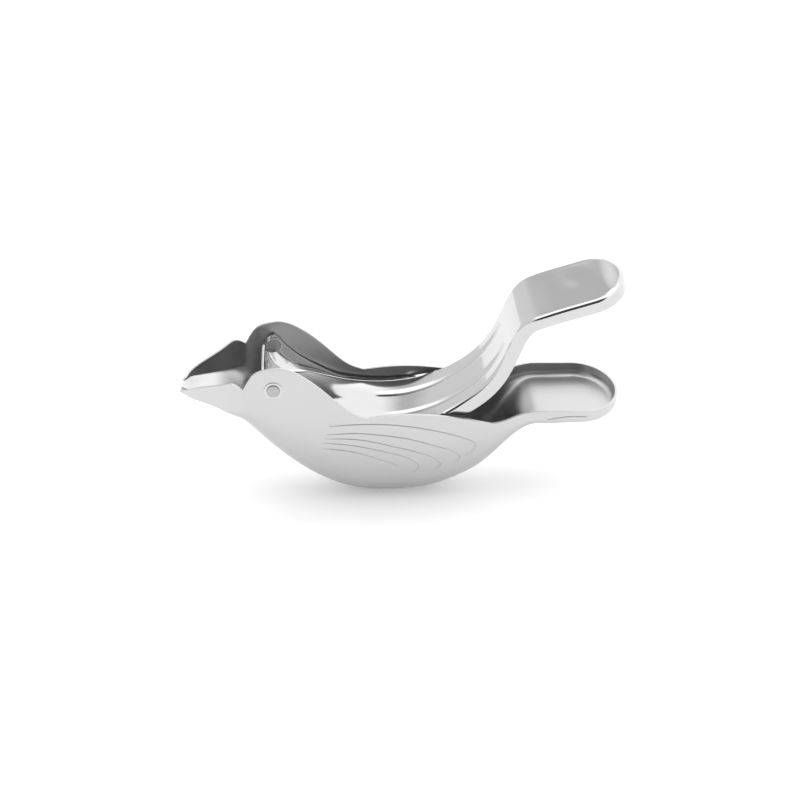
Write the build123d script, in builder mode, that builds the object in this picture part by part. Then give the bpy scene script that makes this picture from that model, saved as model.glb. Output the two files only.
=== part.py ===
"""Bird-shaped citrus wedge squeezer, pressed from two sheets of stainless steel.

Millimetres. X runs along the bird from beak (-X) to tail (+X), Y across it, Z up.
The origin is the middle of the small flat under the belly that the bird rests on.
"""

import os

from build123d import *

os.makedirs("parts", exist_ok=True)

# ---------------------------------------------------------------- driving sizes
SHEET = 0.8                 # both pressings are 0.8 mm sheet
REST_Z = 33.4               # from the flat under the belly up to the level of the valley in the rim
CUT_TOP = 60.0              # any height well above the bird, for cutting tools
CUT_WIDE = 30.0             # any half width well outside the bird

PIN_X = -41.8               # hinge axis, through both eyes
PIN_Z = REST_Z + 15.0
PIN_RADIUS = 2.45
PIN_IN_SHELL = 0.02         # the rivet is set tight in the cheek
PIN_IN_LEVER = 0.06         # and the lever turns freely on it

CHEEK_HALF_WIDTH = 15.6     # outside half width of the shell at the eyes
LEVER_GAP = 0.35            # between each cheek and the ear of the lever inside it
EAR_HALF_WIDTH = CHEEK_HALF_WIDTH - SHEET - LEVER_GAP

TAIL_START = 47.0           # the tail tray begins here
TAIL_STRAIGHT_END = 60.0
TAIL_END = 73.5
TAIL_HALF_WIDTH = 15.9
TAIL_UNDER = REST_Z - 2.0   # underside of the tray
TAIL_CORNER = 2.8           # outside radius between the tray's floor and its wall

RIB_OFFSET = 6.4            # the two stiffening ribs, each side of the middle
RIB_HALF_WIDTH = 1.3
RIB_DEPTH = 0.8
RIB_CHANNEL_HALF_WIDTH = RIB_HALF_WIDTH - 0.5


# ---------------------------------------------------------------- the shell
# Each station across the shell: x, half width, underside, shoulder where the wall turns
# upright, half width of the flat of the bottom, and how far the sides rise off it like a keel.
# Heights are above the rim's valley level.
SHELL_STATIONS = [
    (-73.2, 2.6, 5.7, 6.5, 0.2, 0.4),
    (-71.0, 4.9, 4.9, 7.5, 0.2, 1.2),
    (-68.0, 6.7, 3.8, 9.2, 0.2, 2.4),
    (-62.0, 10.4, 1.0, 12.8, 0.3, 5.0),
    (-56.0, 13.9, -1.7, 14.6, 0.6, 5.6),
    (-51.6, 15.3, -3.8, 11.4, 1.3, 4.4),
    (-46.0, 15.6, -10.2, 8.2, 2.0, 1.4),
    (-38.0, 15.7, -18.4, 5.5, 2.0, 0.0),
    (-28.0, 15.9, -26.6, 3.5, 2.0, 0.0),
    (-16.0, 16.0, -32.3, 2.0, 2.0, 0.0),
    (-2.0, 16.0, -33.7, 1.0, 2.0, 0.0),
    (10.0, 16.0, -32.4, 0.5, 2.0, 0.0),
    (20.0, 16.0, -28.3, 0.0, 2.0, 0.0),
    (28.0, 15.9, -22.2, -1.0, 2.5, 0.0),
    (34.0, 15.4, -14.6, -1.0, 3.5, 0.0),
    (39.0, 15.3, -7.2, 0.0, 7.0, 0.0),
    (43.0, 15.5, -3.0, 0.6, 11.0, 0.0),
    (TAIL_START, TAIL_HALF_WIDTH - 0.02, -1.98, 0.78, TAIL_HALF_WIDTH - TAIL_CORNER, 0.0),
]
ROUND = 0.5523              # handle length of a cubic that follows a quarter ellipse
FULL_KEEL = 5.6             # the sharpest keel, where the sides are folded up the hardest
FOLD_OUT = 0.28             # how much further out the fold then lies
FOLD_DOWN = 0.32            # and how much higher up the wall it starts
THINNEST = 0.5              # the inner form is never narrower than this, each side of the middle
LEAST_WALL = 0.3

# The rim seen from the side, heights above the rim's valley level
RIM_BEAK = [
    (-75.0, 5.8), (-71.3, 7.6), (-65.5, 10.6), (-58.5, 14.9), (-55.6, 16.6), (-53.8, 16.2), (-51.6, 14.9)]
RIM_HEAD = [
    (-51.6, 14.9), (-49.2, 19.5), (-44.2, 22.6), (-38.6, 23.0), (-34.7, 21.4), (-24.3, 12.7),
    (-17.2, 5.9), (-11.6, 3.3),
]
RIM_WING = [(-11.6, 3.3), (-2.0, 4.2), (12.2, 3.4), (23.0, 1.3), (29.4, -0.45)]
RIM_RUMP = [(29.4, -0.45), (31.4, -0.3), (36.2, 1.25), (41.0, 3.1), (46.0, 3.9)]
RIM_TAIL = [(46.0, 3.9), (TAIL_END + 2.0, 3.0)]


def raised(points):
    """The same points of a side view, lifted to their height above the table."""
    return [(x, REST_Z + height) for x, height in points]


def shell_section(station, inset):
    """One closed section across the shell, moved in by inset on its sides and bottom."""
    x, half_width, under, shoulder, flat, keel = station
    half = max(half_width - inset, THINNEST)
    bottom = REST_Z + under + inset
    side = REST_Z + max(shoulder, under + inset + LEAST_WALL)
    foot = min(flat, half - LEAST_WALL)
    sharp = keel / FULL_KEEL
    pull_in = (half - foot) * (ROUND + FOLD_OUT * sharp)
    pull_down = (side - bottom) * (ROUND - FOLD_DOWN * sharp)
    rise = bottom + keel
    with BuildSketch(Plane.YZ.offset(x)) as section:
        with BuildLine():
            Line((-half, CUT_TOP), (half, CUT_TOP))
            Line((half, CUT_TOP), (half, side))
            Bezier((half, side), (half, side - pull_down), (foot + pull_in, rise), (foot, bottom))
            Line((foot, bottom), (-foot, bottom))
            Bezier((-foot, bottom), (-foot - pull_in, rise), (-half, side - pull_down), (-half, side))
            Line((-half, side), (-half, CUT_TOP))
        make_face()
    return section.sketch


def tail_plan(inset):
    """Plan of the tail tray: straight sides and a softly rounded end."""
    half = TAIL_HALF_WIDTH - inset
    length = TAIL_END - TAIL_STRAIGHT_END - inset
    with BuildSketch(Plane.XY.offset(TAIL_UNDER + inset)) as plan:
        with BuildLine():
            Line((TAIL_STRAIGHT_END, -half), (TAIL_START, -half))
            Line((TAIL_START, -half), (TAIL_START, half))
            Line((TAIL_START, half), (TAIL_STRAIGHT_END, half))
            EllipticalCenterArc((TAIL_STRAIGHT_END, 0), length, half, -90, arc_size=180)
        make_face()
    return plan.sketch


def tail_tray(inset):
    """The tail end as a plain block with a rounded bottom edge, moved in by inset."""
    with BuildPart() as tray:
        extrude(tail_plan(inset), CUT_TOP - TAIL_UNDER - inset)
        bottom_edges = tray.edges().group_by(Axis.Z)[0]
        outline = bottom_edges.filter_by(lambda edge: edge.center().X > TAIL_START + LEAST_WALL)
        fillet(outline, TAIL_CORNER - inset)
    return tray.part


def shell_solid(inset):
    """The drawn form of the bird, still full height and solid, moved in by inset."""
    with BuildPart() as form:
        loft([shell_section(station, inset) for station in SHELL_STATIONS])
        add(tail_tray(inset))
    return form.part


with BuildPart() as bird_shell:
    add(shell_solid(0.0))
    add(shell_solid(SHEET), mode=Mode.SUBTRACT)
    # the rim, cut straight across: beak, notch, head, wing, rump and tail
    with BuildSketch(Plane.XZ) as above_rim:
        with BuildLine():
            Spline(*raised(RIM_BEAK))
            Spline(*raised(RIM_HEAD))
            Spline(*raised(RIM_WING))
            Spline(*raised(RIM_RUMP))
            Line(*raised(RIM_TAIL))
            Polyline(
                raised(RIM_TAIL)[-1], (RIM_TAIL[-1][0], CUT_TOP + SHEET),
                (RIM_BEAK[0][0], CUT_TOP + SHEET), raised(RIM_BEAK)[0],
            )
        make_face()
    extrude(above_rim.sketch, CUT_WIDE, both=True, mode=Mode.SUBTRACT)
    # eye holes through both cheeks
    with BuildSketch(Plane.XZ) as eye_hole:
        with Locations((PIN_X, PIN_Z)):
            Circle(PIN_RADIUS + PIN_IN_SHELL)
    extrude(eye_hole.sketch, CUT_WIDE, both=True, mode=Mode.SUBTRACT)
    # the flat under the belly
    split(bisect_by=Plane.XY, keep=Keep.TOP)
bird_shell.part.label = "bird_shell"
export_step(bird_shell.part, "parts/bird_shell.step")


# ---------------------------------------------------------------- the lever
# Heights of the lever's lines are above the rim's valley level, like the shell's.
SHEET_LINE = raised([
    (-45.3, 18.2), (-45.2, 13.6), (-43.2, 9.0), (-38.8, 5.3), (-31.0, 2.2), (-20.0, -0.4), (-8.0, -1.8),
    (3.0, -1.0), (13.0, 2.5), (20.0, 6.7), (26.3, 11.8), (31.2, 18.6), (34.6, 26.0),
    (37.2, 32.2), (40.6, 36.4), (45.6, 38.8), (50.0, 40.3), (72.0, 47.0),
])
JOIN = 8                    # the point where the ears have died out and the turned-down rim begins
EAR_TOP = raised([
    (-45.7, 18.2), (-44.0, 19.1), (-41.8, 18.8), (-39.4, 16.2), (-33.4, 10.1),
    (-26.7, 5.6), (-21.6, 2.8), (-15.5, 1.2), (-6.7, 0.1), (2.1, 0.4), (8.0, 1.4), (13.0, 2.9),
])
FLANGE_FRONT = raised([(20.5, 1.0), (17.0, 2.2)])    # where the turned-down rim begins, rising to the sheet
FLANGE_EDGE = raised([
    (20.5, 1.0), (24.3, 4.2), (29.7, 10.3), (34.1, 16.2), (37.3, 23.0),
    (40.2, 30.0), (42.6, 33.0), (46.0, 34.9), (72.0, 42.7),
])
RIB_LINE = SHEET_LINE[6:13]  # from the middle of the bowl to just under the shoulder
LEVER_FRONT = SHEET_LINE[0][0] - SHEET / 2
HANDLE_HALF_WIDTH = 14.5
HANDLE_STRAIGHT_END = 61.0
HANDLE_END = 72.0


def lever_plan(inset, front):
    """Plan of the lever: straight ears, a waist at the shoulder, and a rounded handle."""
    half_ear = EAR_HALF_WIDTH - inset
    half_handle = HANDLE_HALF_WIDTH - inset
    length = HANDLE_END - HANDLE_STRAIGHT_END - inset
    side = [
        (2.0, half_ear), (12.0, 14.2 - inset), (20.0, 13.3 - inset), (29.0, 12.9 - inset),
        (35.0, 12.4 - inset), (41.0, 13.9 - inset), (48.0, half_handle),
    ]
    with BuildSketch(Plane.XY) as plan:
        with BuildLine():
            Line((front, -half_ear), (front, half_ear))
            Line((front, half_ear), (2.0, half_ear))
            Spline(*side, tangents=[(1, 0), (1, 0)])
            Line((48.0, half_handle), (HANDLE_STRAIGHT_END, half_handle))
            EllipticalCenterArc((HANDLE_STRAIGHT_END, 0), length, half_handle, 90, arc_size=-180)
            Line((HANDLE_STRAIGHT_END, -half_handle), (48.0, -half_handle))
            Spline(*[(x, -y) for x, y in reversed(side)], tangents=[(-1, 0), (-1, 0)])
            Line((2.0, -half_ear), (front, -half_ear))
        make_face()
    return plan.sketch


def across(face, half_width):
    """A side-view face pushed out to both sides of the middle."""
    with BuildPart() as bar:
        extrude(face, half_width, both=True)
    return bar.part


def shifted(points, distance):
    """The points moved sideways off their line, to the left of its run."""
    moved = []
    for i, (x, z) in enumerate(points):
        before = points[max(i - 1, 0)]
        after = points[min(i + 1, len(points) - 1)]
        run = Vector(after[0] - before[0], after[1] - before[1]).normalized()
        moved.append((x - run.Y * distance, z + run.X * distance))
    return moved


with BuildSketch(Plane.XZ) as sheet_side:
    upper = shifted(SHEET_LINE, SHEET / 2)
    lower = shifted(SHEET_LINE, -SHEET / 2)
    with BuildLine():
        Spline(*upper[:-1], tangents=[(0.0, -1.0), (22.0, 6.7)])
        Polyline(upper[-2], upper[-1], lower[-1], lower[-2])
        Spline(*lower[:-1], tangents=[(0.0, -1.0), (22.0, 6.7)])
        Line(lower[0], upper[0])
    make_face()

with BuildSketch(Plane.XZ) as ear_side:
    with BuildLine():
        Spline(*SHEET_LINE[:JOIN + 1], tangents=[(0.0, -1.0), (1.0, 0.5)])
        Line(SHEET_LINE[JOIN], EAR_TOP[-1])
        Spline(*reversed(EAR_TOP))
        Line(EAR_TOP[0], SHEET_LINE[0])
    make_face()

with BuildSketch(Plane.XZ) as flange_side:
    with BuildLine():
        Spline(*SHEET_LINE[JOIN:-1], tangents=[(1.0, 0.5), (22.0, 6.7)])
        Polyline(SHEET_LINE[-2], SHEET_LINE[-1], FLANGE_EDGE[-1], FLANGE_EDGE[-2])
        Spline(*reversed(FLANGE_EDGE[:-1]))
        Polyline(*FLANGE_FRONT, SHEET_LINE[JOIN])
    make_face()


def turned_rim(side_view):
    """The thin wall that stands along the lever's outline, as far as its side view reaches."""
    with BuildPart() as rim:
        extrude(lever_plan(0.0, LEVER_FRONT), CUT_TOP + CUT_WIDE)
        extrude(lever_plan(SHEET, LEVER_FRONT - CUT_WIDE), CUT_TOP + CUT_WIDE, mode=Mode.SUBTRACT)
        add(across(side_view, CUT_WIDE), mode=Mode.INTERSECT)
    return rim.part


def rib_bar(low, high, middle, half_width):
    """A bar that follows the sheet along one rib, between two distances off the sheet's line."""
    over = shifted(RIB_LINE, high)
    under = shifted(RIB_LINE, low)
    with BuildPart() as bar:
        with BuildSketch(Plane.XZ.offset(-middle - half_width)) as side_view:
            with BuildLine():
                Spline(*over)
                Line(over[-1], under[-1])
                Spline(*reversed(under))
                Line(under[0], over[0])
            make_face()
        extrude(side_view.sketch, 2 * half_width)
    return bar.part


with BuildPart() as press_lever:
    extrude(lever_plan(0.0, LEVER_FRONT), CUT_TOP + CUT_WIDE)
    add(across(sheet_side.sketch, CUT_WIDE), mode=Mode.INTERSECT)
    add(turned_rim(ear_side.sketch))
    add(turned_rim(flange_side.sketch))
    # two ribs pressed down along the floor and up the rise
    for middle in (-RIB_OFFSET, RIB_OFFSET):
        add(rib_bar(-SHEET / 2 - RIB_DEPTH, 0.0, middle, RIB_HALF_WIDTH))
        add(rib_bar(SHEET / 2 - RIB_DEPTH, SHEET * 2, middle, RIB_CHANNEL_HALF_WIDTH), mode=Mode.SUBTRACT)
    with BuildSketch(Plane.XZ) as pin_hole:
        with Locations((PIN_X, PIN_Z)):
            Circle(PIN_RADIUS + PIN_IN_LEVER)
    extrude(pin_hole.sketch, CUT_WIDE, both=True, mode=Mode.SUBTRACT)
press_lever.part.label = "press_lever"
export_step(press_lever.part, "parts/press_lever.step")


# ---------------------------------------------------------------- the eye rivets
RIVET_SEAT = 15.72          # just proud of the cheek's outer face
RIVET_HEAD = 0.15           # thickness of the flat ring around the eye
RIVET_HEAD_RADIUS = 2.95
EYE_RADIUS = 2.1            # the raised middle of the rivet
EYE_PROUD = 0.4
CLENCH_RADIUS = 2.85        # inner end, hammered nearly flush behind the ear of the lever
CLENCH_START = EAR_HALF_WIDTH - SHEET - 0.1
CLENCH_END = CLENCH_START - 0.12

for name, side in (("eye_rivet_near", -1), ("eye_rivet_far", 1)):
    with BuildPart() as eye_rivet:
        with BuildSketch(Plane.XY.offset(PIN_Z)) as half_section:
            with BuildLine():
                Polyline(
                    (PIN_X, side * CLENCH_END),
                    (PIN_X + CLENCH_RADIUS, side * CLENCH_END),
                    (PIN_X + CLENCH_RADIUS, side * CLENCH_START),
                    (PIN_X + PIN_RADIUS, side * CLENCH_START),
                    (PIN_X + PIN_RADIUS, side * RIVET_SEAT),
                    (PIN_X + RIVET_HEAD_RADIUS, side * RIVET_SEAT),
                    (PIN_X + RIVET_HEAD_RADIUS, side * (RIVET_SEAT + RIVET_HEAD)),
                    (PIN_X + EYE_RADIUS, side * (RIVET_SEAT + RIVET_HEAD)),
                    (PIN_X + EYE_RADIUS, side * (RIVET_SEAT + RIVET_HEAD + EYE_PROUD)),
                    (PIN_X, side * (RIVET_SEAT + RIVET_HEAD + EYE_PROUD)),
                    close=True,
                )
            make_face()
        revolve(axis=Axis((PIN_X, 0, PIN_Z), (0, 1, 0)))
    eye_rivet.part.label = name
    export_step(eye_rivet.part, f"parts/{name}.step")
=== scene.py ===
import math

import bpy
import numpy as np
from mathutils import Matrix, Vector


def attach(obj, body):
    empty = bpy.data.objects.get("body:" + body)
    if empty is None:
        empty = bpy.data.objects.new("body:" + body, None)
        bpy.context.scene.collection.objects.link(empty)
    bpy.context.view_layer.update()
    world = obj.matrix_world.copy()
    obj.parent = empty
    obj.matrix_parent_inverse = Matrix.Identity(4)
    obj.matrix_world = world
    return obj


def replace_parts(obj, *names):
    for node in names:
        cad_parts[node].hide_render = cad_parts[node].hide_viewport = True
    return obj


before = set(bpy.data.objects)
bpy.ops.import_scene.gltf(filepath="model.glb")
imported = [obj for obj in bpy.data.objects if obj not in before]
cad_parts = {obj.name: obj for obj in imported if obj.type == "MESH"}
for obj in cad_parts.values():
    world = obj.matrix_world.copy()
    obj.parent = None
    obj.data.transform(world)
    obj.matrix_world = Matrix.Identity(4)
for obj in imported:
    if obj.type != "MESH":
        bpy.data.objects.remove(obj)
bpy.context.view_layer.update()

MM = 0.001

# ------------------------------------------------------------------ table, light and camera
# The bird stands on a plain white sweep in a bright studio: white panels all round and overhead,
# and a darker gap on the side where the camera stands, which is what the polished steel mirrors.
bpy.ops.object.select_all(action="DESELECT")
bpy.ops.mesh.primitive_plane_add(size=6.0, location=(0.0, 0.0, 0.0))
table = bpy.context.object
table.name = "studio_table"


class Wire:
    """A shader socket that can be used in Python sums: each operator adds its Math node."""

    tree = None

    def __init__(self, socket):
        self.socket = socket

    @classmethod
    def node(cls, kind, settings=None, outlet=0, **inlets):
        """Any node: its type, its settings, then values or wires for its sockets (names or _index)."""
        made = cls.tree.nodes.new(kind)
        for name, value in (settings or {}).items():
            if name == "stops":
                ramp = made.color_ramp
                while len(ramp.elements) < len(value):
                    ramp.elements.new(0.5)
                for element, (place, shade) in zip(ramp.elements, value):
                    element.position = place
                    element.color = (shade, shade, shade, 1.0)
            else:
                setattr(made, name, value)
        for name, value in inlets.items():
            key = int(name[1:]) if name.startswith("_") else name.replace("_", " ")
            if isinstance(value, cls):
                cls.tree.links.new(value.socket, made.inputs[key])
            else:
                made.inputs[key].default_value = value
        return cls(made.outputs[outlet])

    def math(self, operation, other):
        return Wire.node("ShaderNodeMath", {"operation": operation}, _0=self, _1=other)

    def __add__(self, other):
        return self.math("ADD", other)

    def __mul__(self, other):
        return self.math("MULTIPLY", other)

    def __rsub__(self, other):
        return Wire.node("ShaderNodeMath", {"operation": "SUBTRACT"}, _0=other, _1=self)

    def __pow__(self, other):
        return self.math("POWER", other)

    __radd__ = __add__
    __rmul__ = __mul__


def new_material(name):
    """An empty material whose nodes the Wire class then builds."""
    made = bpy.data.materials.new(name)
    made.use_nodes = True
    made.node_tree.nodes.clear()
    Wire.tree = made.node_tree
    return made


def finish_material(made, shader):
    outlet = made.node_tree.nodes.new("ShaderNodeOutputMaterial")
    made.node_tree.links.new(shader.socket, outlet.inputs["Surface"])
    return made


def grey(shade):
    """One shade of grey, from a wire."""
    return Wire.node("ShaderNodeCombineColor", _0=shade, _1=shade, _2=shade)


paper = new_material("white_sweep")
speck = Wire.node("ShaderNodeTexNoise", Scale=60.0, Detail=3.0)
finish_material(paper, Wire.node("ShaderNodeBsdfPrincipled", Base_Color=grey(speck * 0.01 + 0.895),
                                 Roughness=0.9, Emission_Color=grey(speck * 0.01 + 0.99),
                                 Emission_Strength=0.2))
table.data.materials.append(paper)

CAMERA_TURN = math.radians(-3.3)
CAMERA_RISE = math.radians(32.5)
CAMERA_REACH = 500 * MM
LOOK_AT = Vector((0.0, 0.0, 33.4 * MM))

back = Vector((math.sin(CAMERA_TURN) * math.cos(CAMERA_RISE),
               -math.cos(CAMERA_TURN) * math.cos(CAMERA_RISE), math.sin(CAMERA_RISE)))
camera_data = bpy.data.cameras.new("camera")
camera_data.lens = 66.6
camera_data.sensor_width = 36.0
camera = bpy.data.objects.new("camera", camera_data)
bpy.context.scene.collection.objects.link(camera)
camera.location = LOOK_AT + back * CAMERA_REACH
camera.rotation_euler = back.to_track_quat("Z", "Y").to_euler()
bpy.context.scene.camera = camera

LEFT_WALL, SEAM, RIGHT_WALL, CEILING = 1.25, 0.95, 1.85, 2.4    # brightness of the tent's panels
SEAM_AT = -0.14             # how far to the left of the far side the upright seam stands
SEAM_EDGES = (-0.09, -0.03, 0.02, 0.09)     # it blends into the panels between these
CEILING_FROM, CEILING_FULL = 0.62, 0.85     # sine of the height where the ceiling takes over
BRIGHTEST = 3.0             # the panels' ramp holds shades up to 1, as shares of this
DARK_GAP = 0.10
DARK_FROM, DARK_FULL = 0.70, 0.90   # cosine of the angle off the gap's middle where the white falls
studio = bpy.data.worlds.new("studio")
bpy.context.scene.world = studio
studio.use_nodes = True
studio.node_tree.nodes.clear()
Wire.tree = studio.node_tree
look = Wire.node("ShaderNodeTexCoord")
parts = Wire.node("ShaderNodeSeparateXYZ", _0=look)
look_x, look_y, look_z = [Wire(s) for s in parts.socket.node.outputs]
stops = [(0.5 + SEAM_AT / 2 + edge, shade / BRIGHTEST)
         for edge, shade in zip(SEAM_EDGES, (LEFT_WALL, SEAM, SEAM, RIGHT_WALL))]
panels = Wire.node("ShaderNodeValToRGB", {"stops": stops}, _0=look_x * 0.5 + 0.5)
overhead = Wire.node("ShaderNodeMapRange", {"interpolation_type": "SMOOTHSTEP"},
                     _0=look_z, _1=CEILING_FROM, _2=CEILING_FULL, _3=0.0, _4=1.0)
tent = panels * BRIGHTEST * (1 - overhead) + overhead * CEILING
off_gap = look_x * back.x + look_y * back.y + look_z * back.z
gap = Wire.node("ShaderNodeMapRange", {"interpolation_type": "SMOOTHSTEP"},
                _0=off_gap, _1=DARK_FROM, _2=DARK_FULL, _3=1.0, _4=0.0)
light = Wire.node("ShaderNodeBackground", Strength=tent * gap + (1 - gap) * DARK_GAP)
outlet = studio.node_tree.nodes.new("ShaderNodeOutputWorld")
studio.node_tree.links.new(light.socket, outlet.inputs["Surface"])
bpy.context.scene.view_settings.view_transform = "Standard"

# ------------------------------------------------------------------ the bird's body
# One pressing of 0.8 mm stainless sheet: beak, head, round belly and tail tray, trimmed level with
# a shears-cut rim. Satin outside, polished inside, with feather lines scored into both wings.
SHEET = 0.8
REST_Z = 33.4               # height of the rim's valley above the table
NECK_X = -52.2              # the crease where the beak is folded out of the head
TAIL_STRAIGHT_END, TAIL_END = 60.0, 73.5
TAIL_HALF_WIDTH, TAIL_UNDER, TAIL_CORNER = 15.9, -2.0, 2.8
PIN_X, PIN_Z = -41.8, REST_Z + 15.0

# x, half width, underside, shoulder where the wall turns upright, half width of the bottom's flat,
# and how far the sides rise off the bottom like a keel; heights are from the valley in the rim
BEAK_TIP_X = -73.2
FULL_KEEL = 5.6             # the sharpest keel, where the beak's sides are folded up the hardest
BEAK_STATIONS = [
    (BEAK_TIP_X, 3.8, 7.2, 8.4, 0.2, 0.4),
    (-71.0, 5.9, 6.1, 8.5, 0.2, 1.2),
    (-68.0, 7.8, 4.3, 8.3, 0.2, 2.4),
    (-62.0, 10.8, 0.9, 7.7, 0.3, 5.0),
    (-56.0, 14.2, -2.2, 7.2, 0.6, FULL_KEEL),
    (NECK_X, 15.5, -3.5, 8.6, 1.2, 4.0),
]
BODY_STATIONS = [
    (NECK_X, 15.5, -3.5, 8.6, 1.2, 4.0),
    (-46.0, 15.6, -10.2, 8.2, 2.0, 1.4),
    (-38.0, 15.7, -18.4, 5.5, 2.0, 0.0),
    (-28.0, 15.9, -26.6, 3.5, 2.0, 0.0),
    (-16.0, 16.0, -32.3, 2.0, 2.0, 0.0),
    (-2.0, 16.0, -33.7, 1.0, 2.0, 0.0),
    (10.0, 16.0, -32.4, 0.5, 2.0, 0.0),
    (20.0, 16.0, -28.3, 0.0, 2.0, 0.0),
    (28.0, 15.9, -22.2, -1.0, 2.5, 0.0),
    (34.0, 15.4, -14.6, -1.0, 3.5, 0.0),
    (39.0, 15.3, -7.2, 0.0, 7.0, 0.0),
    (43.0, 15.6, -3.0, 0.6, 11.0, 0.0),
    (47.0, TAIL_HALF_WIDTH, TAIL_UNDER, 0.8, 13.1, 0.0),
    (54.0, TAIL_HALF_WIDTH, TAIL_UNDER, 0.8, 13.1, 0.0),
    (TAIL_STRAIGHT_END, TAIL_HALF_WIDTH, TAIL_UNDER, 0.8, 13.1, 0.0),
]
# the rim seen from the side: beak, head and wing, valley, tail
RIM_LINES = [
    [(-74.5, 8.4), (-70.7, 10.2), (-67.7, 11.8), (-62.6, 14.0), (-57.7, 16.2), (-55.6, 17.1), (-53.8, 16.7),
     (-51.6, 15.2)],
    [(-51.6, 15.2), (-49.2, 19.5), (-44.2, 22.6), (-38.6, 23.0), (-34.7, 21.4), (-24.3, 12.7),
     (-17.2, 5.9), (-11.6, 3.3)],
    [(-11.6, 3.3), (-2.0, 4.2), (12.2, 3.4), (23.0, 1.3), (29.4, -0.45)],
    [(29.4, -0.45), (31.4, -0.3), (36.2, 1.25), (41.0, 3.1), (46.0, 3.9)],
    [(46.0, 3.9), (75.5, 3.0)],
]


def fair(at, knots, values):
    """A draughtsman's fair curve (natural cubic spline) through the knots, read at the places at."""
    knots, values, at = (np.asarray(each, float) for each in (knots, values, at))
    gap = np.diff(knots)
    slope = np.diff(values) / gap
    stiff = np.eye(len(knots))
    load = np.zeros(len(knots))
    for i in range(1, len(knots) - 1):
        stiff[i, i - 1:i + 2] = gap[i - 1], 2 * (gap[i - 1] + gap[i]), gap[i]
        load[i] = 6 * (slope[i] - slope[i - 1])
    bend = np.linalg.solve(stiff, load)
    i = np.clip(np.searchsorted(knots, at) - 1, 0, len(gap) - 1)
    low, high = at - knots[i], knots[i + 1] - at
    return ((bend[i] * high ** 3 + bend[i + 1] * low ** 3) / (6 * gap[i])
            + (values[i] / gap[i] - bend[i] * gap[i] / 6) * high
            + (values[i + 1] / gap[i] - bend[i + 1] * gap[i] / 6) * low)


def station_values(x, column):
    """Half width, underside, shoulder or flat along the bird, softly creased at the neck."""
    beak = fair(x, [s[0] for s in BEAK_STATIONS], [s[column] for s in BEAK_STATIONS])
    body = fair(x, [s[0] for s in BODY_STATIONS], [s[column] for s in BODY_STATIONS])
    values = np.where(x < NECK_X, beak, body)
    blend = [0.06, 0.12, 0.2, 0.24, 0.2, 0.12, 0.06]
    softened = np.convolve(np.pad(values, len(blend) // 2, mode="edge"), blend, "valid")
    near_neck = np.exp(-((x - NECK_X) / 3.0) ** 2)
    return values * (1 - near_neck) + softened * near_neck


def rim_height(x):
    height = np.zeros_like(x)
    for line in RIM_LINES:
        inside = (x >= line[0][0]) & (x <= line[-1][0])
        height[inside] = fair(x[inside], [p[0] for p in line], [p[1] for p in line])
    return height


def pressed_sheet(name, places):
    """A flat grid blank whose vertices are pushed onto the pressed form, given as an array of
    places (columns, rows, xyz) in millimetres above the table."""
    columns, rows = places.shape[0], places.shape[1]
    bpy.ops.object.select_all(action="DESELECT")
    bpy.ops.mesh.primitive_grid_add(x_subdivisions=columns - 1, y_subdivisions=rows - 1, size=1.0)
    sheet = bpy.context.object
    sheet.name = name
    flat = np.empty(len(sheet.data.vertices) * 3)
    sheet.data.vertices.foreach_get("co", flat)
    flat = flat.reshape(-1, 3)
    column = np.rint((flat[:, 0] + 0.5) * (columns - 1)).astype(int)
    row = np.rint((flat[:, 1] + 0.5) * (rows - 1)).astype(int)
    sheet.data.vertices.foreach_set("co", (places[column, row] * MM).ravel())
    sheet.data.update()
    bpy.ops.object.mode_set(mode="EDIT")
    bpy.ops.mesh.select_all(action="SELECT")
    bpy.ops.mesh.remove_doubles(threshold=0.002 * MM)
    bpy.ops.mesh.normals_make_consistent(inside=False)
    bpy.ops.object.mode_set(mode="OBJECT")
    return sheet


def modify(piece, kind, **settings):
    """Add one modifier, set it, and apply it at once."""
    bpy.ops.object.select_all(action="DESELECT")
    bpy.context.view_layer.objects.active = piece
    piece.select_set(True)
    added = piece.modifiers.new(kind.lower(), kind)
    for name, value in settings.items():
        setattr(added, name, value)
    bpy.ops.object.modifier_apply(modifier=added.name)


WALL_ROWS, TURN_ROWS, FLOOR_ROWS = 12, 24, 14
ROUND = 0.5523              # handle length of a cubic that follows a quarter ellipse
FOLD_OUT, FOLD_DOWN = 0.28, 0.32     # how much further out and higher up the beak's fold lies
LIP_REACH, LIP_BACK, LIP_RISE = 1.6, 0.9, 1.7
EDGE_BEVEL = 0.14
body_x = np.concatenate([np.linspace(BEAK_TIP_X, NECK_X, 50)[:-1],
                         np.linspace(NECK_X, TAIL_STRAIGHT_END, 240)])
half, under, shoulder, flat, keel = (station_values(body_x, column) for column in (1, 2, 3, 4, 5))
rim = rim_height(body_x)
shoulder = np.minimum(shoulder, rim - 0.2)
sweep = np.radians(np.linspace(0, 90, 41))[1:]
tail_x = TAIL_STRAIGHT_END + (TAIL_END - TAIL_STRAIGHT_END) * np.sin(sweep)
tail_y = TAIL_HALF_WIDTH * np.cos(sweep)
inward = np.stack([-np.sin(sweep) * TAIL_HALF_WIDTH, -np.cos(sweep) * (TAIL_END - TAIL_STRAIGHT_END)], 1)
inward /= np.linalg.norm(inward, axis=1)[:, None]

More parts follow.
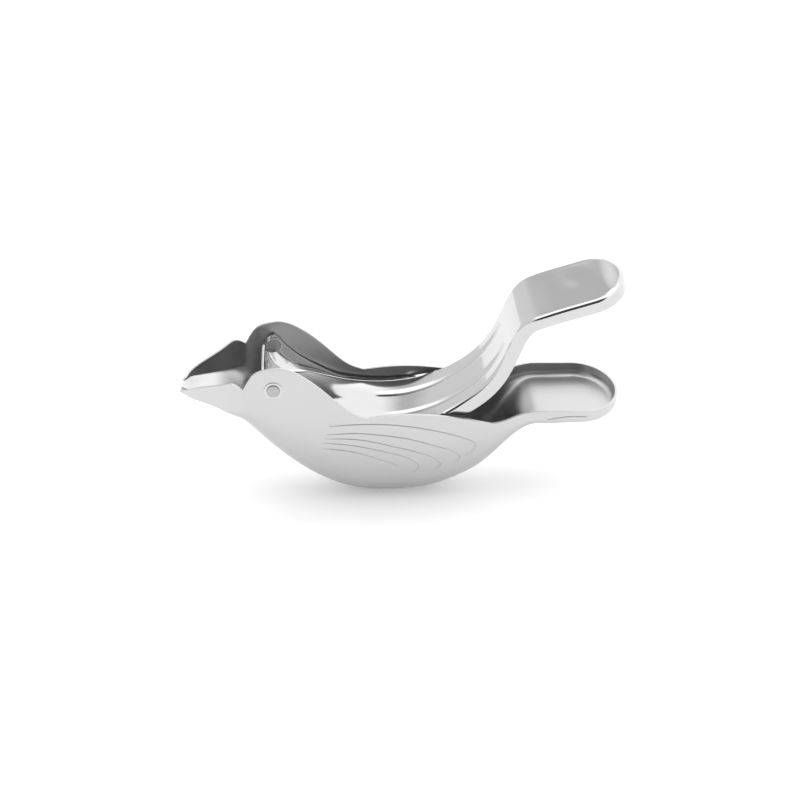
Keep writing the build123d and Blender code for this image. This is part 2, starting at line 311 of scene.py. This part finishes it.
bend = np.clip(keel / FULL_KEEL, 0, 1)     # how sharply the beak's sides are folded up from its keel
near_side = []              # rows from the rim down to the edge of the flat bottom, on the -Y side
for drop in np.linspace(0, 1, WALL_ROWS + 1)[:-1]:
    body_rows = np.stack([body_x, -half, rim + (shoulder - rim) * drop], 1)
    tail_rim = rim_height(tail_x)
    tail_rows = np.stack([tail_x, -tail_y, tail_rim + (TAIL_UNDER + TAIL_CORNER - tail_rim) * drop], 1)
    near_side.append(np.concatenate([body_rows, tail_rows]))
for turn in np.linspace(0, 1, TURN_ROWS + 1):
    a, b, c, d = (1 - turn) ** 3, 3 * turn * (1 - turn) ** 2, 3 * turn ** 2 * (1 - turn), turn ** 3
    y = a * half + b * half + c * (flat + (half - flat) * (ROUND + FOLD_OUT * bend)) + d * flat
    z = (a * shoulder + b * (shoulder - (shoulder - under) * (ROUND - FOLD_DOWN * bend))
         + c * (under + keel) + d * under)
    in_by = TAIL_CORNER * (1 - (a + b + c * ROUND))
    z_tail = TAIL_UNDER + TAIL_CORNER * (a + b * (1 - ROUND))
    tail_rows = np.stack([tail_x + inward[:, 0] * in_by, -(tail_y + inward[:, 1] * in_by),
                          np.full_like(tail_x, z_tail)], 1)
    near_side.append(np.concatenate([np.stack([body_x, -y, z], 1), tail_rows]))
near_side = np.stack(near_side, 1)
far_side = near_side[:, ::-1] * np.array([1, -1, 1])
between = np.linspace(0, 1, FLOOR_ROWS + 1)[1:-1][None, :, None]
floor = near_side[:, -1:] * (1 - between) + far_side[:, :1] * between
form = np.concatenate([near_side, floor, far_side], 1)
# the lip of the beak is rounded back at its sides
tip = np.exp(-((form[..., 0] - BEAK_TIP_X) / LIP_REACH) ** 2)
side_share = np.clip((form[..., 2] - form[:, form.shape[1] // 2, 2][:, None]) / LIP_RISE, 0, 1)
form[..., 0] += LIP_BACK * tip * side_share ** 1.5
form[..., 2] = np.maximum(form[..., 2] + REST_Z, 0.0)

shell = pressed_sheet("bird_body", form)
modify(shell, "SOLIDIFY", thickness=SHEET * MM, offset=-1.0, use_even_offset=True,
       material_offset=1, material_offset_rim=2)
modify(shell, "BEVEL", width=EDGE_BEVEL * MM, segments=2, limit_method="ANGLE",
       angle_limit=math.radians(55))

# feather lines on the wing and one arc on the tail, x and height, front end first
FEATHERS = [
    [(-24.2, 0.7), (-15.4, 1.1), (-5.1, 0.7), (4.0, -0.7), (13.2, -3.1), (21.4, -6.2), (24.0, -8.3),
     (23.9, -10.9), (21.2, -13.6)],
    [(-25.0, -2.8), (-15.5, -2.4), (-6.4, -3.6), (4.0, -6.0), (12.1, -9.2), (18.0, -12.5), (19.4, -14.6),
     (17.0, -17.0)],
    [(-25.8, -4.5), (-15.5, -4.9), (-5.1, -7.7), (4.1, -10.9), (11.3, -15.0), (12.9, -17.7), (10.8, -20.2)],
    [(-26.6, -6.2), (-15.6, -7.7), (-5.1, -10.9), (3.8, -15.4), (5.5, -18.3), (3.4, -21.2)],
    [(-26.5, -8.9), (-20.5, -9.4), (-15.6, -10.6), (-11.0, -12.4), (-7.0, -14.3), (-3.0, -16.4),
     (-1.2, -17.7)],
    [(47.6, 0.55), (54.4, 1.55), (62.2, 1.1)],
]
SCORE_RADIUS, SCORE_DEPTH = 0.26, 0.13
EYE_HOLE_RADIUS, DRILL_LENGTH = 2.47, 50.0

wall_x = form[:, 0, 0]
outward = np.cross(np.gradient(form, axis=0), np.gradient(form, axis=1))
outward /= np.maximum(np.linalg.norm(outward, axis=2), 1e-9)[..., None]
near_rows = slice(0, WALL_ROWS + TURN_ROWS)


def on_near_wall(x, height):
    """The point of the near wall at x and height, and the way out of the sheet there."""
    i = int(np.clip(np.searchsorted(wall_x[:len(body_x)], x), 1, len(body_x) - 1))
    share = (x - wall_x[i - 1]) / (wall_x[i] - wall_x[i - 1])
    found = []
    for grid in (form[..., 1], outward[..., 0], outward[..., 1], outward[..., 2]):
        ends = [np.interp(-height, -form[k, near_rows, 2], grid[k, near_rows]) for k in (i - 1, i)]
        found.append(ends[0] * (1 - share) + ends[1] * share)
    away = np.array(found[1:])
    if away[1] > 0:
        away = -away
    return np.array([x, found[0], height]), away


cutters = []
for line in FEATHERS:
    line = np.array(line)
    run = np.concatenate([[0], np.cumsum(np.linalg.norm(np.diff(line, axis=0), axis=1))])
    steps = np.linspace(0, run[-1], max(24, int(run[-1] * 1.6)))
    for side in (-1, 1):
        curve = bpy.data.curves.new("score", "CURVE")
        curve.dimensions = "3D"
        curve.bevel_depth = SCORE_RADIUS * MM
        curve.bevel_resolution = 2
        curve.use_fill_caps = True
        spline = curve.splines.new("POLY")
        spline.points.add(len(steps) - 1)
        line_x, line_z = fair(steps, run, line[:, 0]), fair(steps, run, line[:, 1])
        for point, x, z, step in zip(spline.points, line_x, line_z, steps):
            place, away = on_near_wall(x, z + REST_Z)
            ends = min(step, (run[-1] - step)) / run[-1]
            lift = SCORE_RADIUS - SCORE_DEPTH * min(1.0, 0.35 + ends * 6)
            place = (place + away * lift) * MM
            point.co = (place[0], -side * place[1], place[2], 1.0)
        made = bpy.data.objects.new("score", curve)
        bpy.context.scene.collection.objects.link(made)
        cutters.append(made)
bpy.ops.object.select_all(action="DESELECT")
for made in cutters:
    made.select_set(True)
bpy.context.view_layer.objects.active = cutters[0]
bpy.ops.object.convert(target="MESH")
bpy.ops.mesh.primitive_cylinder_add(vertices=96, radius=EYE_HOLE_RADIUS * MM, depth=DRILL_LENGTH * MM,
                                    location=(PIN_X * MM, 0, PIN_Z * MM), rotation=(math.radians(90), 0, 0))
bpy.context.object.select_set(True)
for made in cutters:
    made.select_set(True)
bpy.ops.object.join()
scores = bpy.context.object
bpy.ops.object.transform_apply(location=True, rotation=True, scale=True)
bpy.ops.object.mode_set(mode="EDIT")
bpy.ops.mesh.select_all(action="SELECT")
bpy.ops.mesh.normals_make_consistent(inside=False)
bpy.ops.object.mode_set(mode="OBJECT")

for name in ("satin_outside", "polished_inside", "cut_edge", "scored_line"):
    made = new_material(name)
    place = Wire.node("ShaderNodeTexCoord", outlet=3)
    if name == "satin_outside":
        brushed = Wire.node("ShaderNodeMapping", Vector=place, Scale=(500, 2600, 2600))
        grain = Wire.node("ShaderNodeTexNoise", Vector=brushed, Scale=1.0, Detail=3.0)
        cloud = Wire.node("ShaderNodeTexNoise", Vector=place, Scale=45.0, Detail=3.0)
        bump = Wire.node("ShaderNodeBump", Strength=0.06, Distance=0.00004, Height=grain)
        shader = Wire.node("ShaderNodeBsdfPrincipled", Base_Color=grey(cloud * 0.03 + 0.555), Metallic=1.0,
                           Roughness=grain * 0.06 + cloud * 0.05 + 0.31, Normal=bump)
    elif name == "polished_inside":
        cloud = Wire.node("ShaderNodeTexNoise", Vector=place, Scale=70.0, Detail=4.0)
        wipe = Wire.node("ShaderNodeMapping", Vector=place, Scale=(120, 900, 900))
        streak = Wire.node("ShaderNodeTexNoise", Vector=wipe, Scale=1.0, Detail=3.0)
        bump = Wire.node("ShaderNodeBump", Strength=0.02, Distance=0.00004, Height=streak)
        axes = Wire.node("ShaderNodeSeparateXYZ", _0=place)
        # painted reflection: the base colour is made darker over the slope at the rump, standing in for a
        # dark reflection; the steel there is no darker
        rise = Wire.node("ShaderNodeMapRange", _0=axes, _1=14 * MM, _2=26 * MM, _3=1.0, _4=0.55)
        fall = Wire.node("ShaderNodeMapRange", _0=axes, _1=39 * MM, _2=45 * MM, _3=0.0, _4=0.45)
        rump_painted_reflection = rise + fall          # painted dark reflection: the slope at the rump is painted darker than the rest
        shade = grey((cloud * 0.05 + 0.50) * rump_painted_reflection)
        shader = Wire.node("ShaderNodeBsdfPrincipled", Base_Color=shade, Metallic=1.0,
                           Roughness=cloud * 0.05 + streak * 0.03 + 0.03, Normal=bump)
    elif name == "cut_edge":
        grind = Wire.node("ShaderNodeTexNoise", Vector=place, Scale=900.0, Detail=2.0)
        shader = Wire.node("ShaderNodeBsdfPrincipled", Base_Color=grey(grind * 0.06 + 0.36), Metallic=1.0,
                           Roughness=grind * 0.1 + 0.25)
    else:
        grit = Wire.node("ShaderNodeTexNoise", Vector=place, Scale=1500.0, Detail=2.0)
        shader = Wire.node("ShaderNodeBsdfPrincipled", Base_Color=grey(grit * 0.1 + 0.45), Metallic=1.0,
                           Roughness=grit * 0.15 + 0.4)
    finish_material(made, shader)
    shell.data.materials.append(made)
    scores.data.materials.append(made)
for face in scores.data.polygons:
    face.material_index = 3
modify(shell, "BOOLEAN", operation="DIFFERENCE", solver="EXACT", object=scores)
bpy.data.objects.remove(scores, do_unlink=True)
bpy.ops.object.shade_smooth_by_angle(angle=math.radians(35))
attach(shell, "shell")
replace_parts(shell, "bird_shell")

# ------------------------------------------------------------------ the press lever
# The second pressing, turning on the eye rivets: a trough whose ears stand inside the cheeks, a
# floor with two stiffening ribs that climbs out of the bowl, and a handle with its rim turned down.
# seen from the side, the middle of the floor and handle, then the top line of the ears:
# x, height above the valley in the bird's rim
SHEET_LINE = [
    (-45.3, 18.2), (-45.2, 13.6), (-43.2, 9.0), (-38.8, 5.3), (-31.0, 2.2), (-20.0, -0.4), (-8.0, -1.8),
    (3.0, -1.0), (13.0, 2.5), (20.0, 6.7), (26.3, 11.8), (31.2, 18.6), (34.6, 26.0), (37.2, 32.2),
    (40.6, 36.4), (45.6, 38.8), (50.0, 40.3), (57.3, 42.5), (64.6, 44.75),
]
EAR_LINE = [
    (-41.7, 19.0), (-40.6, 17.7), (-39.4, 16.2), (-33.4, 10.1), (-26.7, 5.6), (-21.6, 2.8),
    (-15.5, 1.2), (-6.7, 0.1), (2.1, 0.4), (8.0, 1.4), (13.0, 2.7),
]
EAR_HALF_WIDTH = 14.45
# seen from above, the half width: x, size
LEVER_PLAN = [(2.0, EAR_HALF_WIDTH), (12.0, 14.2), (20.0, 13.3), (29.0, 12.9), (35.0, 12.4),
              (41.0, 13.9), (48.0, 14.5), (62.0, 14.5)]
# how deep the rim is turned down: x, size
FLANGE = [(13.0, 0.0), (14.5, 0.8), (16.0, 2.0), (17.3, 3.5), (18.3, 4.3), (19.5, 4.5), (30.0, 4.5),
          (36.0, 4.1), (44.0, 3.9), (62.0, 4.1)]
JOIN_X = 13.0
HANDLE_STRAIGHT_END, HANDLE_END = 61.0, 72.0
RIB_OFFSET, RIB_REACH, RIB_DEPTH = 6.4, 2.0, 0.5    # off the middle, half width, depth
RIB_START_X, RIB_FULL_X, RIB_END_X = -12.0, 4.0, 34.4
CROWN, CROWN_REACH = 0.12, 4.0
CROWN_SPAN = [-42.0, -32.0, 6.0, 20.0]
CORNER_RADIUS, FOLD_RADIUS = 1.0, 0.9
LEAST_WALL = 0.5            # the wall never shrinks to nothing where it passes flat
EAR_HOLE_RADIUS = 2.51
HANDLE_FROM, HANDLE_BLEND, SIDE_FADE, TIP_FADE = 43.0, 8.0, 4.0, 6.0
DOME, DENT, WAVE = 0.35, 0.16, 0.02       # relief of the handle's top
DENT_X, DENT_Y, DENT_LENGTH, DENT_WIDTH = 58.0, 1.5, 5.5, 4.0
WAVE_ALONG, WAVE_ACROSS = 0.62, 0.25      # radians per millimetre
TURN_OVER = [3.0, 12.4, 13.2, 15.0]       # x where the wall starts to lie down, is flat, is turned down
FRONT_CORNER = [(0.0, 4.6), (8.0, 5.6), (16.0, 4.6), (24.0, CORNER_RADIUS)]    # length along, radius
TROUGH_FROM, TROUGH_CURVE = 4.0, 0.045    # the floor curves up to the ears outside this half width
SHALLOW = 1.2 / 130         # the trough stays shallow where the wall beside it is low

line = np.array(SHEET_LINE)
knots = np.concatenate([[0], np.cumsum(np.linalg.norm(np.diff(line, axis=0), axis=1))])
fine = np.linspace(0, knots[-1], 4000)
past_front = slice(1000, None)      # where x only grows along the line
fine_line = np.stack([fair(fine, knots, line[:, 0]), fair(fine, knots, line[:, 1])], 1)
length = np.concatenate([[0], np.cumsum(np.linalg.norm(np.diff(fine_line, axis=0), axis=1))])
handle_at = np.interp(HANDLE_STRAIGHT_END, fine_line[past_front, 0], length[past_front])
join_at = np.interp(JOIN_X, fine_line[past_front, 0], length[past_front])
along = np.linspace(0, handle_at, 256)
mid = np.stack([np.interp(along, length, fine_line[:, 0]), np.interp(along, length, fine_line[:, 1])], 1)
heading = np.gradient(mid, axis=0)
heading /= np.linalg.norm(heading, axis=1)[:, None]
up_off = np.stack([-heading[:, 1], heading[:, 0]], 1)

# the wall beside the floor: the ears up to their top line, then the rim turned down
ear = np.array(EAR_LINE)
ear_knots = np.concatenate([[0], np.cumsum(np.linalg.norm(np.diff(ear, axis=0), axis=1))])
share = np.clip(along / join_at, 0, 1) ** 1.35 * ear_knots[-1]
ear_top = np.stack([fair(share, ear_knots, ear[:, 0]), fair(share, ear_knots, ear[:, 1])], 1)
plan = np.array(LEVER_PLAN)
reach = fair(mid[:, 0], plan[:, 0], plan[:, 1])
reach = np.where(mid[:, 0] < plan[0, 0], EAR_HALF_WIDTH, reach) - SHEET / 2
depth = np.interp(mid[:, 0], [p[0] for p in FLANGE], [p[1] for p in FLANGE])
wall = np.where((along < join_at)[:, None], ear_top - mid, -up_off * np.maximum(depth, LEAST_WALL)[:, None])
wall_size = np.maximum(np.linalg.norm(wall, axis=1), LEAST_WALL)
wall_way = wall / np.linalg.norm(wall, axis=1)[:, None]
# between the ears and the turned-down rim the wall lies flat: its angle to the floor passes through 0
ease = np.interp(mid[:, 0], TURN_OVER, [1.0, 0.0, 0.0, 1.0])
wall_angle = math.pi / 2 * np.where(along < join_at * 0.5, 1.0, ease * ease * (3 - 2 * ease))
front_corner = np.interp(along, [p[0] for p in FRONT_CORNER], [p[1] for p in FRONT_CORNER])
beside_ears = np.interp(mid[:, 0], [2.0, 12.0], [1.0, 0.0])
fold = np.minimum(beside_ears * (front_corner - FOLD_RADIUS) + FOLD_RADIUS, wall_size * 0.8)
# the floor is a shallow trough, so the fold starts from its slope
steep = np.minimum(np.interp(mid[:, 0], [-45.0, -42.0, 2.0, 12.0], [0.02, TROUGH_CURVE, TROUGH_CURVE, 0.0]),
                   SHALLOW * wall_size)
floor_edge = reach - fold - TROUGH_FROM
first_angle = np.arctan(steep * floor_edge)
raised_by = steep * floor_edge ** 2 / 2
wall_length = wall_size - raised_by - fold * (np.cos(first_angle) - np.cos(wall_angle))
wall_length = np.maximum(wall_length, 0.25)

sweep = np.radians(np.linspace(0, 90, 41))[1:]
end_run = (HANDLE_END - HANDLE_STRAIGHT_END - SHEET / 2) / heading[-1, 0]
end_x = end_run * np.sin(sweep)
end_y = reach[-1] * np.cos(sweep)
end_in = np.stack([-np.sin(sweep) * reach[-1], -np.cos(sweep) * end_run], 1)
end_in /= np.linalg.norm(end_in, axis=1)[:, None]

SIDE_ROWS, FOLD_ROWS, TOP_ROWS = 10, 9, 92


def across_rows(wall_share, turn):
    """One row of the lever's near side: a share of the wall's length, or a share of the fold."""
    angle = first_angle + (wall_angle - first_angle) * turn
    out = reach - (1 - wall_share if turn == 1 else 1) * wall_length * np.cos(wall_angle)
    out = out - fold * (np.sin(wall_angle) - np.sin(angle))
    off = (raised_by + fold * (np.cos(first_angle) - np.cos(angle))
           + wall_share * wall_length * np.sin(wall_angle))
    rows = np.stack([mid[:, 0] + wall_way[:, 0] * off, -out, mid[:, 1] + wall_way[:, 1] * off], 1)
    tip_off = FOLD_RADIUS * (1 - math.cos(turn * math.pi / 2)) + wall_share * (wall_size[-1] - FOLD_RADIUS)
    in_by = FOLD_RADIUS * (1 - math.sin(turn * math.pi / 2))
    run = end_x + end_in[:, 0] * in_by
    tip_rows = np.stack([mid[-1, 0] + heading[-1, 0] * run - up_off[-1, 0] * tip_off,
                         -(end_y + end_in[:, 1] * in_by),
                         mid[-1, 1] + heading[-1, 1] * run - up_off[-1, 1] * tip_off], 1)
    return np.concatenate([rows, tip_rows])


near_side = [across_rows(share, 1.0) for share in np.linspace(1, 0, SIDE_ROWS + 1)[:-1]]
near_side += [across_rows(0.0, turn) for turn in np.linspace(1, 0, FOLD_ROWS + 1)]
near_side = np.stack(near_side, 1)
far_side = near_side[:, ::-1] * np.array([1, -1, 1])
between = np.linspace(0, 1, TOP_ROWS + 1)[1:-1][None, :, None]
top_y = near_side[:, -1:, 1] * (1 - between[..., 0]) + far_side[:, :1, 1] * between[..., 0]
full_steep = np.concatenate([steep, np.zeros(len(sweep))])[:, None]
trough = full_steep * np.maximum(np.abs(top_y) - TROUGH_FROM, 0) ** 2 / 2
full_way = np.concatenate([wall_way, np.repeat(wall_way[-1:], len(sweep), 0)])
full_up = np.concatenate([up_off, np.repeat(up_off[-1:], len(sweep), 0)])
full_x = np.concatenate([mid[:, 0], mid[-1, 0] + end_x])
top = near_side[:, -1:] * (1 - between) + far_side[:, :1] * between
top[..., 0] += (trough - trough[:, :1]) * full_way[:, :1]
top[..., 2] += (trough - trough[:, :1]) * full_way[:, 1:]
# a low crown along the middle of the bowl
crown = CROWN * np.interp(full_x, CROWN_SPAN, [0.0, 1.0, 1.0, 0.0])
crown = crown[:, None] * np.clip(1 - (top[..., 1] / CROWN_REACH) ** 2, 0, 1) ** 2
top[..., 0] += crown * full_up[:, :1]
top[..., 2] += crown * full_up[:, 1:]
# the top of the handle is not quite flat: a low dome, a shallow dent and slight waves
on_handle = np.clip((full_x - HANDLE_FROM) / HANDLE_BLEND, 0, 1)
on_handle = (on_handle * on_handle * (3 - 2 * on_handle))[:, None]
across = top[..., 1]
end_fade = np.clip((HANDLE_END - full_x) / TIP_FADE, 0, 1)[:, None]
rim_fade = np.clip((reach[-1] - np.abs(across)) / SIDE_FADE, 0, 1) * end_fade
rim_fade = rim_fade * rim_fade * (3 - 2 * rim_fade)
press_waves = (DOME * np.clip(1 - (across / reach[-1]) ** 2, 0, 1)
               - DENT * np.exp(-((full_x[:, None] - DENT_X) / DENT_LENGTH) ** 2
                               - ((across - DENT_Y) / DENT_WIDTH) ** 2)
               + WAVE * np.sin(full_x[:, None] * WAVE_ALONG + across * WAVE_ACROSS) * rim_fade)
top[..., 0] += press_waves * on_handle * rim_fade * full_up[:, :1]
top[..., 2] += press_waves * on_handle * rim_fade * full_up[:, 1:]
# the ribs are pressed into the floor: they fade in at the middle of the bowl and end round
full_along = np.concatenate([along, along[-1] + end_x])
rib_start = np.interp(RIB_START_X, fine_line[past_front, 0], length[past_front])
rib_full = np.interp(RIB_FULL_X, fine_line[past_front, 0], length[past_front])
rib_end = np.interp(RIB_END_X, fine_line[past_front, 0], length[past_front])
grow = np.clip((full_along - rib_start) / (rib_full - rib_start), 0, 1)
grow = grow * grow * (3 - 2 * grow)
past = np.maximum(full_along - (rib_end - RIB_REACH), 0)[:, None]
for middle in (-RIB_OFFSET, RIB_OFFSET):
    off = np.sqrt((top[..., 1] - middle) ** 2 + past ** 2) / RIB_REACH
    press = RIB_DEPTH * grow[:, None] * np.where(off < 1, np.cos(np.clip(off, 0, 1) * math.pi / 2) ** 2, 0)
    top[..., 0] -= press * full_up[:, 0][:, None]
    top[..., 2] -= press * full_up[:, 1][:, None]
form = np.concatenate([near_side, top, far_side], 1)
form[..., 2] += REST_Z

lever = pressed_sheet("press_lever_sheet", form)
modify(lever, "SOLIDIFY", thickness=SHEET * MM, offset=0.0, use_even_offset=True, material_offset_rim=1)
modify(lever, "BEVEL", width=EDGE_BEVEL * MM, segments=2, limit_method="ANGLE",
       angle_limit=math.radians(55))
bpy.ops.object.select_all(action="DESELECT")
bpy.ops.mesh.primitive_cylinder_add(vertices=96, radius=EAR_HOLE_RADIUS * MM, depth=DRILL_LENGTH * MM,
                                    location=(PIN_X * MM, 0, PIN_Z * MM), rotation=(math.radians(90), 0, 0))
drill = bpy.context.object
modify(lever, "BOOLEAN", operation="DIFFERENCE", solver="EXACT", object=drill)
bpy.data.objects.remove(drill, do_unlink=True)
bpy.ops.object.shade_smooth_by_angle(angle=math.radians(35))

made = new_material("polished_lever")
place = Wire.node("ShaderNodeTexCoord", outlet=3)
cloud = Wire.node("ShaderNodeTexNoise", Vector=place, Scale=80.0, Detail=4.0)
wipe = Wire.node("ShaderNodeMapping", Vector=place, Scale=(160, 1500, 400))
streak = Wire.node("ShaderNodeTexNoise", Vector=wipe, Scale=1.0, Detail=3.0)
bump = Wire.node("ShaderNodeBump", Strength=0.02, Distance=0.00004, Height=streak)
finish_material(made, Wire.node("ShaderNodeBsdfPrincipled", Base_Color=grey(cloud * 0.04 + 0.55),
                                Metallic=1.0, Roughness=cloud * 0.05 + streak * 0.03 + 0.06,
                                Normal=bump))
lever.data.materials.append(made)
lever.data.materials.append(bpy.data.materials["cut_edge"])
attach(lever, "lever")
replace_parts(lever, "press_lever")

# ------------------------------------------------------------------ the eye rivets
# A turned stainless rivet through each cheek: a thin flat head with a raised middle, which is the
# bird's eye, a shank that the lever turns on, and an inner end hammered nearly flush.
HEAD_RADIUS, HEAD_THICK, HEAD_SEAT = 2.95, 0.15, 15.72
EYE_RADIUS, EYE_PROUD, EYE_DOME = 2.1, 0.4, 0.05
SHANK_RADIUS, CLENCH_RADIUS = 2.45, 2.85
CLENCH_START = EAR_HALF_WIDTH - SHEET - 0.1
CLENCH_END = CLENCH_START - 0.12

made = new_material("turned_rivet")
place = Wire.node("ShaderNodeTexCoord", outlet=3)
from_pin = Wire.node("ShaderNodeMapping", Vector=place, Location=(-PIN_X * MM, 0.0, -PIN_Z * MM))
axes = Wire.node("ShaderNodeSeparateXYZ", _0=from_pin)
pin_x, pin_z = Wire(axes.socket.node.outputs[0]), Wire(axes.socket.node.outputs[2])
radius = (pin_x * pin_x + pin_z * pin_z) ** 0.5
lathe = Wire.node("ShaderNodeTexNoise", {"noise_dimensions": "1D"}, W=radius * 9000, Scale=1.0, Detail=2.0)
bump = Wire.node("ShaderNodeBump", Strength=0.15, Distance=0.00003, Height=lathe)
# the base colour is darker in the eye's middle, and a thin dark band where the raised eye steps up from the
# head is painted shade
ring = Wire.node("ShaderNodeMapRange", _0=radius, _1=2.13 * MM, _2=2.19 * MM, _3=0.10, _4=0.58)
disc = Wire.node("ShaderNodeMapRange", _0=radius, _1=2.00 * MM, _2=2.06 * MM, _3=0.29, _4=0.0)
eye_tone_and_painted_shade = ring + disc
finish_material(made, Wire.node("ShaderNodeBsdfPrincipled", Base_Color=grey(lathe * 0.06 + eye_tone_and_painted_shade),
                                Metallic=1.0, Roughness=lathe * 0.1 + 0.26, Normal=bump))


def turn_rivet(name, side):
    """The head is a disc; its outer face is inset and raised, its inner face is drawn out to the shank."""
    def pick(y):
        bpy.ops.object.mode_set(mode="OBJECT")
        for face in rivet.data.polygons:
            face.select = abs(face.center.y - side * y * MM) < 0.01 * MM and abs(face.normal.y) > 0.9
        bpy.ops.object.mode_set(mode="EDIT")

    def draw_out(y):
        bpy.ops.mesh.extrude_region_move(TRANSFORM_OT_translate={"value": (0, side * y * MM, 0)})

    bpy.ops.object.select_all(action="DESELECT")
    bpy.ops.mesh.primitive_cylinder_add(vertices=96, radius=HEAD_RADIUS * MM, depth=HEAD_THICK * MM,
                                        location=(0, 0, 0), rotation=(math.radians(90), 0, 0))
    rivet = bpy.context.object
    rivet.name = name
    rivet.location = (PIN_X * MM, side * (HEAD_SEAT + HEAD_THICK / 2) * MM, PIN_Z * MM)
    bpy.ops.object.transform_apply(location=True, rotation=True, scale=True)
    bpy.ops.object.mode_set(mode="EDIT")
    bpy.ops.mesh.select_mode(type="FACE")
    bpy.ops.mesh.select_all(action="DESELECT")
    pick(HEAD_SEAT + HEAD_THICK)
    bpy.ops.mesh.inset(thickness=(HEAD_RADIUS - EYE_RADIUS) * MM)
    draw_out(EYE_PROUD)
    for ring in range(7):
        bpy.ops.mesh.inset(thickness=EYE_RADIUS / 8 * MM)
        draw_out(EYE_DOME * (2 * (8 - ring) - 1) / 63)
    pick(HEAD_SEAT)
    bpy.ops.mesh.inset(thickness=(HEAD_RADIUS - SHANK_RADIUS) * MM)
    draw_out(CLENCH_START - HEAD_SEAT)
    draw_out(0.0)
    bpy.ops.transform.resize(value=(CLENCH_RADIUS / SHANK_RADIUS, 1, CLENCH_RADIUS / SHANK_RADIUS),
                             center_override=(PIN_X * MM, 0, PIN_Z * MM))
    draw_out(CLENCH_END - CLENCH_START)
    bpy.ops.mesh.select_all(action="SELECT")
    bpy.ops.mesh.normals_make_consistent(inside=False)
    bpy.ops.object.mode_set(mode="OBJECT")
    modify(rivet, "BEVEL", width=0.05 * MM, segments=3, limit_method="ANGLE", angle_limit=math.radians(40))
    bpy.ops.object.shade_smooth_by_angle(angle=math.radians(35))
    rivet.data.materials.append(bpy.data.materials["turned_rivet"])
    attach(rivet, "shell")
    return rivet


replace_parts(turn_rivet("eye_near", -1), "eye_rivet_near")
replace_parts(turn_rivet("eye_far", 1), "eye_rivet_far")
